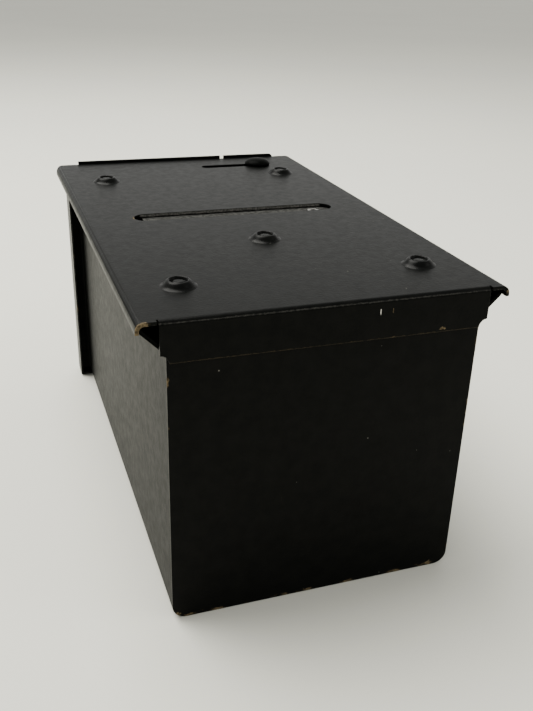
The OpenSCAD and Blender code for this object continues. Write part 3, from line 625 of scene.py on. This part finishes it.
class DROPBOX_OT_stage(bpy.types.Operator):
    """Set up the floor, the soft lights and the camera"""

    bl_idname = "dropbox.stage"
    bl_label = "Studio"

    def execute(self, context):
        studio = context.scene.drop_box_studio
        mesh = bpy.data.meshes.new("studio_floor")
        corners = [(x * FLOOR_REACH, y * FLOOR_REACH, -FLOOR_DROP)
                   for x, y in ((-1, -1), (1, -1), (1, 1), (-1, 1))]
        mesh.from_pydata(corners, [], [(0, 1, 2, 3)])
        floor = bpy.data.objects.new("studio_floor", mesh)
        mesh.materials.append(seamless_paper("seamless_paper", studio.floor))
        context.scene.collection.objects.link(floor)

        world = bpy.data.worlds.new("studio_room")
        world.use_nodes = True
        wires = Wires(world.node_tree)
        direction = wires.add("TexCoord").outputs["Generated"]
        behind = wires.ramp(wires.vector("DOT_PRODUCT", direction, Y_AXIS), 0.2, 0.9, 1.0, studio.backdrop)
        background = world.node_tree.nodes["Background"]
        background.inputs["Color"].default_value = ROOM_COLOUR
        wires.put(background.inputs["Strength"], wires.math("MULTIPLY", behind, studio.sky))
        context.scene.world = world

        for name, spot, aim, size, power in (
                ("key_light", KEY_PLACE, KEY_AIM, KEY_SIZE, studio.key_power),
                ("fill_light", FILL_PLACE, FILL_AIM, FILL_SIZE, studio.fill_power)):
            lamp = bpy.data.lights.new(name, "AREA")
            lamp.shape, lamp.size, lamp.energy, lamp.color = "DISK", size, power, LAMP_COLOUR
            light = bpy.data.objects.new(name, lamp)
            light.location = spot
            light.rotation_euler = (Vector(aim) - Vector(spot)).to_track_quat("-Z", "Y").to_euler()
            context.scene.collection.objects.link(light)

        lens = bpy.data.cameras.new("studio_camera")
        lens.lens, lens.sensor_width = studio.lens, SENSOR_WIDTH
        lens.clip_start, lens.clip_end = 0.01, 100.0
        camera = bpy.data.objects.new("studio_camera", lens)
        camera.location = CAMERA_PLACE
        camera.rotation_euler = Euler([math.radians(angle) for angle in CAMERA_ANGLES])
        context.scene.collection.objects.link(camera)
        context.scene.camera = camera
        return {"FINISHED"}


class DROPBOX_OT_body(bpy.types.Operator):
    """Finish the bent body sheet and the plain end panel"""

    bl_idname = "dropbox.body"
    bl_label = "Body Sheet"

    def execute(self, context):
        flare = 9.7 * MM
        wall = BODY_HI.x - flare
        jamb_x, jamb_y = 70.5 * MM, 112.5 * MM
        foot = (0.0, PANEL_LO.y, 0.0004)
        corner = 0.0008
        body_edges = [
            ((-wall, PANEL_LO.y, 0.0), Z_AXIS, 0.0011, 0.35),
            ((wall, PANEL_LO.y, 0.0), Z_AXIS, 0.0011, 0.45),
            ((-wall, 0.0, BODY_LO.z + corner), Y_AXIS, 0.0016, 0.25),
            ((wall, 0.0, BODY_LO.z + corner), Y_AXIS, 0.0016, 0.35),
            ((-jamb_x, jamb_y, 0.0), Z_AXIS, 0.0009, 0.35),
            ((jamb_x, jamb_y, 0.0), Z_AXIS, 0.0009, 0.4)]
        panel_edges = [
            (foot, X_AXIS, 0.0012, 0.5),
            ((-wall, PANEL_LO.y, 0.0), Z_AXIS, 0.0009, 0.35),
            ((wall, PANEL_LO.y, 0.0), Z_AXIS, 0.0009, 0.45)]
        chips = [
            ((-63.5 * MM, PANEL_LO.y, 1.5 * MM), (0.0022, 0.0012, 0.0016), 0.7, 0.0),
            ((56.0 * MM, PANEL_LO.y, 1.2 * MM), (0.0018, 0.0012, 0.0012), 0.8, 0.0)]
        soften("body_shell", enamel("body_enamel", body_edges, rub=(1500.0, 36.0, 1500.0), scratches=0.14,
                                    specks=0.01, ior=BODY_IOR), clamp=True)
        soften("front_panel", enamel("panel_enamel", panel_edges, chips, rub=(50.0, 1500.0, 1500.0),
                                     scratches=0.12))
        return {"FINISHED"}


class DROPBOX_OT_top(bpy.types.Operator):
    """Finish the folded top plate"""

    bl_idname = "dropbox.top"
    bl_label = "Top Plate"

    def execute(self, context):
        front, side, top = PLATE_LO.y, PLATE_HI.x, PLATE_HI.z
        low = top - 4.6 * MM
        edges = [
            ((0.0, SLOT_FAR, top), X_AXIS, 0.0005, 0.25),
            # The front flange's lower edge: a faint tan line of wear all along it, made strong enough to also
            # stand as a painted highlight on that edge, and heavier wear in patches
            ((0.0, front, PLATE_LO.z), X_AXIS, 0.0006, 1.0, 0.16),
            ((0.0, front, PLATE_LO.z), X_AXIS, 0.0007, 0.30, 0.6),
            ((-side + 0.7 * MM, 0.0, low), Y_AXIS, 0.0008, 0.4),
            ((side - 0.7 * MM, 0.0, low), Y_AXIS, 0.0008, 0.4)]
        chips = [
            ((-side + 2.4 * MM, front, top - 2.4 * MM), (0.0036, 0.0014, 0.0040), 0.5, 0.0),
            ((side - 1.0 * MM, front, top - 2.4 * MM), (0.0005, 0.0010, 0.0009), 0.9, 0.0),
            ((19.0 * MM, front, 131.8 * MM), (0.00030, 0.0012, 0.0015), 0.45, 1.0),
            ((24.3 * MM, front, 131.8 * MM), (0.00020, 0.0012, 0.0012), 0.55, 0.0),
            ((47.0 * MM, front, 121.6 * MM), (0.0016, 0.0012, 0.0007), 1.1, 0.0),
            ((SLOT_LEFT, SLOT_MID, top), (0.0008, 0.0022, 0.0008), 0.5, 0.0)]
        grey_patches_and_painted_highlight = [
            # The slot's far wall, coloured speckled grey so that it looks like the shutter under the slot
            ((0.0, SLOT_FAR, top - 0.9 * MM), (0.140, 0.0006, 0.00085), 0.10, 1.0),
            # Painted highlight: a thin faint grey line along the front bend, standing for the light the bend
            # catches
            ((0.0, front + 0.35 * MM, top - 1.2 * MM), (0.150, 0.0004, 0.00036), 0.60, 0.20)]
        soften("top_plate", enamel("plate_enamel", edges, chips, rub=(1500.0, 32.0, 1500.0), scratches=0.16,
                                   specks=0.012, peel=0.55, grey_patches_and_painted_highlight=grey_patches_and_painted_highlight), join=SHORT_EDGE)
        return {"FINISHED"}


class DROPBOX_OT_rivets(bpy.types.Operator):
    """Make the five upset rivets with their hollow heads"""

    bl_idname = "dropbox.rivets"
    bl_label = "Top Rivets"

    def execute(self, context):
        rng = random.Random(SEED)
        top, low = PLATE_HI.z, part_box("top_rivets")[0].z
        rise = context.scene.drop_box_shape.rivet_head
        material = enamel("rivet_enamel", scratches=0.3, specks=0.05, peel=0.2, rougher=-0.06,
                          ior=RIVET_IOR)
        head = [(0.0, 0.76), (1.4, 0.80), (2.3, 0.72), (2.8, 0.48), (3.2, 0.50), (3.6, 0.86), (4.0, 1.0),
                (4.5, 0.97), (5.1, 0.80), (5.7, 0.54), (6.3, 0.28), (7.0, 0.10), (7.5, 0.012), (7.6, -0.02)]
        shape = [(r * MM, z * rise) for r, z in smoothed(head)]
        shank, tail = 3.0 * MM, low + 1.8 * MM
        shape += [(shank, -0.0001), (shank, tail - top), (4.5 * MM, tail - top),
                  (4.2 * MM, low + 0.8 * MM - top), (3.0 * MM, low + 0.25 * MM - top), (0.0, low - top)]
        for index, (x, y, _) in enumerate(sorted(solid_centres("top_rivets", 5, 20.0 * MM))):
            name = f"rivet_{index + 1}"
            mesh = turned(name, shape, (x, y, top), 0.006, rng)
            piece_from(name, mesh, material, "box", ("top_rivets",))
        return {"FINISHED"}


class DROPBOX_OT_stud(bpy.types.Operator):
    """Make the domed stud that draws the shutter back"""

    bl_idname = "dropbox.stud"
    bl_label = "Slide Stud"

    def execute(self, context):
        lo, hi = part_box("drive_stud")
        centre = ((lo.x + hi.x) / 2, (lo.y + hi.y) / 2, lo.z)
        radius, under = (hi.x - lo.x) / 2, PLATE_HI.z + 0.3 * MM - lo.z
        rise = hi.z - lo.z - under
        crown = [(0.0, under + rise), (0.35 * radius, under + 0.965 * rise),
                 (0.62 * radius, under + 0.84 * rise), (0.84 * radius, under + 0.60 * rise),
                 (0.96 * radius, under + 0.36 * rise), (radius, under + 0.16 * rise),
                 (0.985 * radius, under + 0.03 * rise), (0.94 * radius, under)]
        neck, collar = 2.8 * MM, 5.0 * MM
        collar_foot, collar_top = 1.3 * MM, 3.1 * MM
        stem = [(neck, under), (neck, collar_top), (collar, collar_top), (collar, collar_foot),
                (neck, collar_foot), (neck, 0.0), (0.0, 0.0)]
        edges = [((centre[0], centre[1] - radius, lo.z + under + 0.2 * rise), X_AXIS, 0.0022, 0.25)]
        material = enamel("stud_enamel", edges, scratches=0.4, specks=0.04, ior=STUD_IOR)
        mesh = turned("stud", smoothed(crown) + stem, centre, 0.003, random.Random(SEED + 1))
        piece_from("stud", mesh, material, "stud_slider", ("drive_stud",))
        return {"FINISHED"}


class DROPBOX_OT_mechanism(bpy.types.Operator):
    """Finish the shutter, its bar and the tray they slide in"""

    bl_idname = "dropbox.mechanism"
    bl_label = "Shutter Mechanism"

    def execute(self, context):
        finish = context.scene.drop_box_finish
        grey = shutter_paint("shutter_grey_paint")
        tin = plated("tray_zinc", finish.zinc, (40.0, 1800.0, 1800.0), 0.44, 0.5)
        bright = plated("worn_steel", finish.bare_steel, (900.0, 900.0, 120.0), 0.3, 0.3)
        for node in ("shutter", "drive_bar"):
            soften(node, grey, 0.00015)
        for node in ("mechanism_tray", "spring_bracket", "shutter_guides"):
            soften(node, tin, 0.00012)
        dress("tray_spacers", tin)
        for node in ("shutter_eyelet", "follower_pin", "spring_rod"):
            dress(node, bright)
        return {"FINISHED"}


class DROPBOX_OT_spring(bpy.types.Operator):
    """Wind the shutter's return spring"""

    bl_idname = "dropbox.spring"
    bl_label = "Return Spring"

    def execute(self, context):
        shape, finish = context.scene.drop_box_shape, context.scene.drop_box_finish
        lo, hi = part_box("shutter_spring")
        wire = shape.spring_wire / 2
        coil = (hi.x - lo.x) / 2 - wire
        x, z, length = (lo.x + hi.x) / 2, (lo.z + hi.z) / 2, hi.y - lo.y
        turns, steps, sides = shape.spring_turns, 18, 8
        # Shares of the turns and of the length in each end, which is wound a little closer than the rest
        end_turns, end_length, open_length = 0.06, 0.05, 0.90
        points = []
        for step in range(turns * steps + 1):
            share = step / (turns * steps)
            lift = (share - end_turns) / (1 - 2 * end_turns)
            lift = min(max(lift, 0.0), 1.0) * open_length + end_length * min(share / end_turns, 1.0)
            lift += end_length * min(max((share - 1 + end_turns) / end_turns, 0.0), 1.0)
            angle = math.tau * step / steps
            points.append(Vector((x + coil * math.cos(angle), lo.y + wire + lift * (length - 2 * wire),
                                  z + coil * math.sin(angle))))
        mesh = bpy.data.meshes.new("return_spring")
        verts, faces = [], []
        for index, point in enumerate(points):
            ahead = points[min(index + 1, len(points) - 1)] - points[max(index - 1, 0)]
            ahead.normalize()
            side = ahead.cross(Vector(Y_AXIS)).normalized()
            up = side.cross(ahead)
            for turn in range(sides):
                angle = math.tau * turn / sides
                verts.append(point + wire * (math.cos(angle) * side + math.sin(angle) * up))
        for index in range(len(points) - 1):
            for turn in range(sides):
                a, b = index * sides + turn, index * sides + (turn + 1) % sides
                faces.append((a, b, b + sides, a + sides))
        faces.append(tuple(range(sides)))
        faces.append(tuple(reversed(range(len(verts) - sides, len(verts)))))
        mesh.from_pydata(verts, [], faces)
        for face in mesh.polygons:
            face.use_smooth = len(face.vertices) == 4
        material = plated("spring_steel", finish.bare_steel, (300.0, 300.0, 300.0), 0.26, 0.3)
        piece = piece_from("return_spring", mesh, material, "box", ("shutter_spring",))
        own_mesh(piece)
        return {"FINISHED"}


class DROPBOX_OT_door(bpy.types.Operator):
    """Finish the door pan and the rail it shuts against"""

    bl_idname = "dropbox.door"
    bl_label = "Door"

    def execute(self, context):
        edges = [
            ((0.0, DOOR_HI.y - 0.75 * MM, DOOR_HI.z), X_AXIS, 0.0008, 0.3),
            ((DOOR_LO.x, DOOR_LO.y, 0.0), Z_AXIS, 0.0010, 0.4),
            ((DOOR_HI.x, DOOR_LO.y, 0.0), Z_AXIS, 0.0010, 0.4),
            ((DOOR_LO.x, DOOR_HI.y, 0.0), Z_AXIS, 0.0012, 0.35),
            ((DOOR_HI.x, DOOR_HI.y, 0.0), Z_AXIS, 0.0012, 0.35),
            ((0.0, DOOR_HI.y, DOOR_LO.z), X_AXIS, 0.0014, 0.5)]
        soften("door", enamel("door_enamel", edges, rub=(1500.0, 1500.0, 40.0), scratches=0.35, specks=0.05),
               join=SHORT_EDGE)
        soften("rear_rail", enamel("rail_enamel", scratches=0.3, specks=0.05, waves=0.3), 0.00015)
        return {"FINISHED"}


class DROPBOX_OT_hinge(bpy.types.Operator):
    """Finish the hinge leaves, pin and rivets"""

    bl_idname = "dropbox.hinge"
    bl_label = "Hinge"

    def execute(self, context):
        finish = context.scene.drop_box_finish
        lo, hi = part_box("hinge_pin")
        axis = ((lo.x + hi.x) / 2 + 2.4 * MM, (lo.y + hi.y) / 2, 0.0)
        knuckles = enamel("hinge_enamel", [(axis, Z_AXIS, 0.0019, 0.5)], rub=(1500.0, 1500.0, 60.0),
                          scratches=0.4, specks=0.1, waves=0.2)
        for node in ("hinge_body_leaf", "hinge_door_leaf"):
            soften(node, knuckles, 0.00012)
        for node in ("hinge_body_rivets", "hinge_door_rivets"):
            dress(node, knuckles)
        dress("hinge_pin", plated("hinge_pin_steel", finish.bare_steel, (900.0, 900.0, 60.0), 0.32, 0.5,
                                  finish.undercoat, 0.5))
        return {"FINISHED"}


class DROPBOX_OT_lock(bpy.types.Operator):
    """Finish the cam lock and its strike"""

    bl_idname = "dropbox.lock"
    bl_label = "Cam Lock"

    def execute(self, context):
        finish = context.scene.drop_box_finish
        shine = plated("lock_chrome", finish.chrome, (500.0, 90.0, 500.0), 0.16, 0.15)
        tin = plated("lock_zinc", finish.zinc, (500.0, 1400.0, 90.0), 0.4, 0.5)
        soften("lock_body", shine, 0.0003)
        soften("lock_plug", shine, 0.00015)
        for node in ("lock_nut", "lock_cam", "lock_plate", "lock_strike"):
            soften(node, tin, 0.00015)
        for node in ("cam_screw", "strike_rivets"):
            dress(node, tin)
        return {"FINISHED"}


class DROPBOX_OT_handle(bpy.types.Operator):
    """Finish the folding handle, its brackets and rivets"""

    bl_idname = "dropbox.handle"
    bl_label = "Folding Handle"

    def execute(self, context):
        lo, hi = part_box("bail_handle")
        grip = [((0.0, hi.y, lo.z + 3.0 * MM), X_AXIS, 0.0022, 0.5)]
        dress("bail_handle", enamel("handle_enamel", grip, rub=(40.0, 1500.0, 1500.0), scratches=0.4,
                                    specks=0.08, waves=0.2))
        fixings = enamel("bracket_enamel", scratches=0.3, specks=0.08, waves=0.2)
        soften("handle_brackets", fixings, 0.0002)
        dress("handle_rivets", fixings)
        return {"FINISHED"}


class DROPBOX_PT_pieces(bpy.types.Panel):
    """Lists the drop box's pieces and settings"""

    bl_label = "Drop Box"
    bl_space_type = "VIEW_3D"
    bl_region_type = "UI"
    bl_category = "Drop Box"

    def draw(self, context):
        layout, scene = self.layout, context.scene
        for group in (scene.drop_box_finish, scene.drop_box_shape, scene.drop_box_studio):
            box = layout.box()
            for name in group.__annotations__:
                box.prop(group, name)
        for operator in STEPS:
            layout.operator(operator.bl_idname)


STEPS = (DROPBOX_OT_effects, DROPBOX_OT_stage, DROPBOX_OT_body, DROPBOX_OT_top, DROPBOX_OT_rivets,
         DROPBOX_OT_stud, DROPBOX_OT_mechanism, DROPBOX_OT_spring, DROPBOX_OT_door, DROPBOX_OT_hinge,
         DROPBOX_OT_lock, DROPBOX_OT_handle)
SETTINGS = (("drop_box_finish", DropBoxFinish), ("drop_box_shape", DropBoxShape),
            ("drop_box_studio", DropBoxStudio))


def register():
    for cls in (*(group for _, group in SETTINGS), *STEPS, DROPBOX_PT_pieces):
        bpy.utils.register_class(cls)
    for name, group in SETTINGS:
        setattr(bpy.types.Scene, name, bpy.props.PointerProperty(type=group))


def unregister():
    for name, _ in SETTINGS:
        delattr(bpy.types.Scene, name)
    for cls in reversed((*(group for _, group in SETTINGS), *STEPS, DROPBOX_PT_pieces)):
        bpy.utils.unregister_class(cls)


def main():
    register()
    for operator in STEPS:
        getattr(bpy.ops.dropbox, operator.bl_idname.split(".")[1])()


if __name__ == "__main__":
    main()
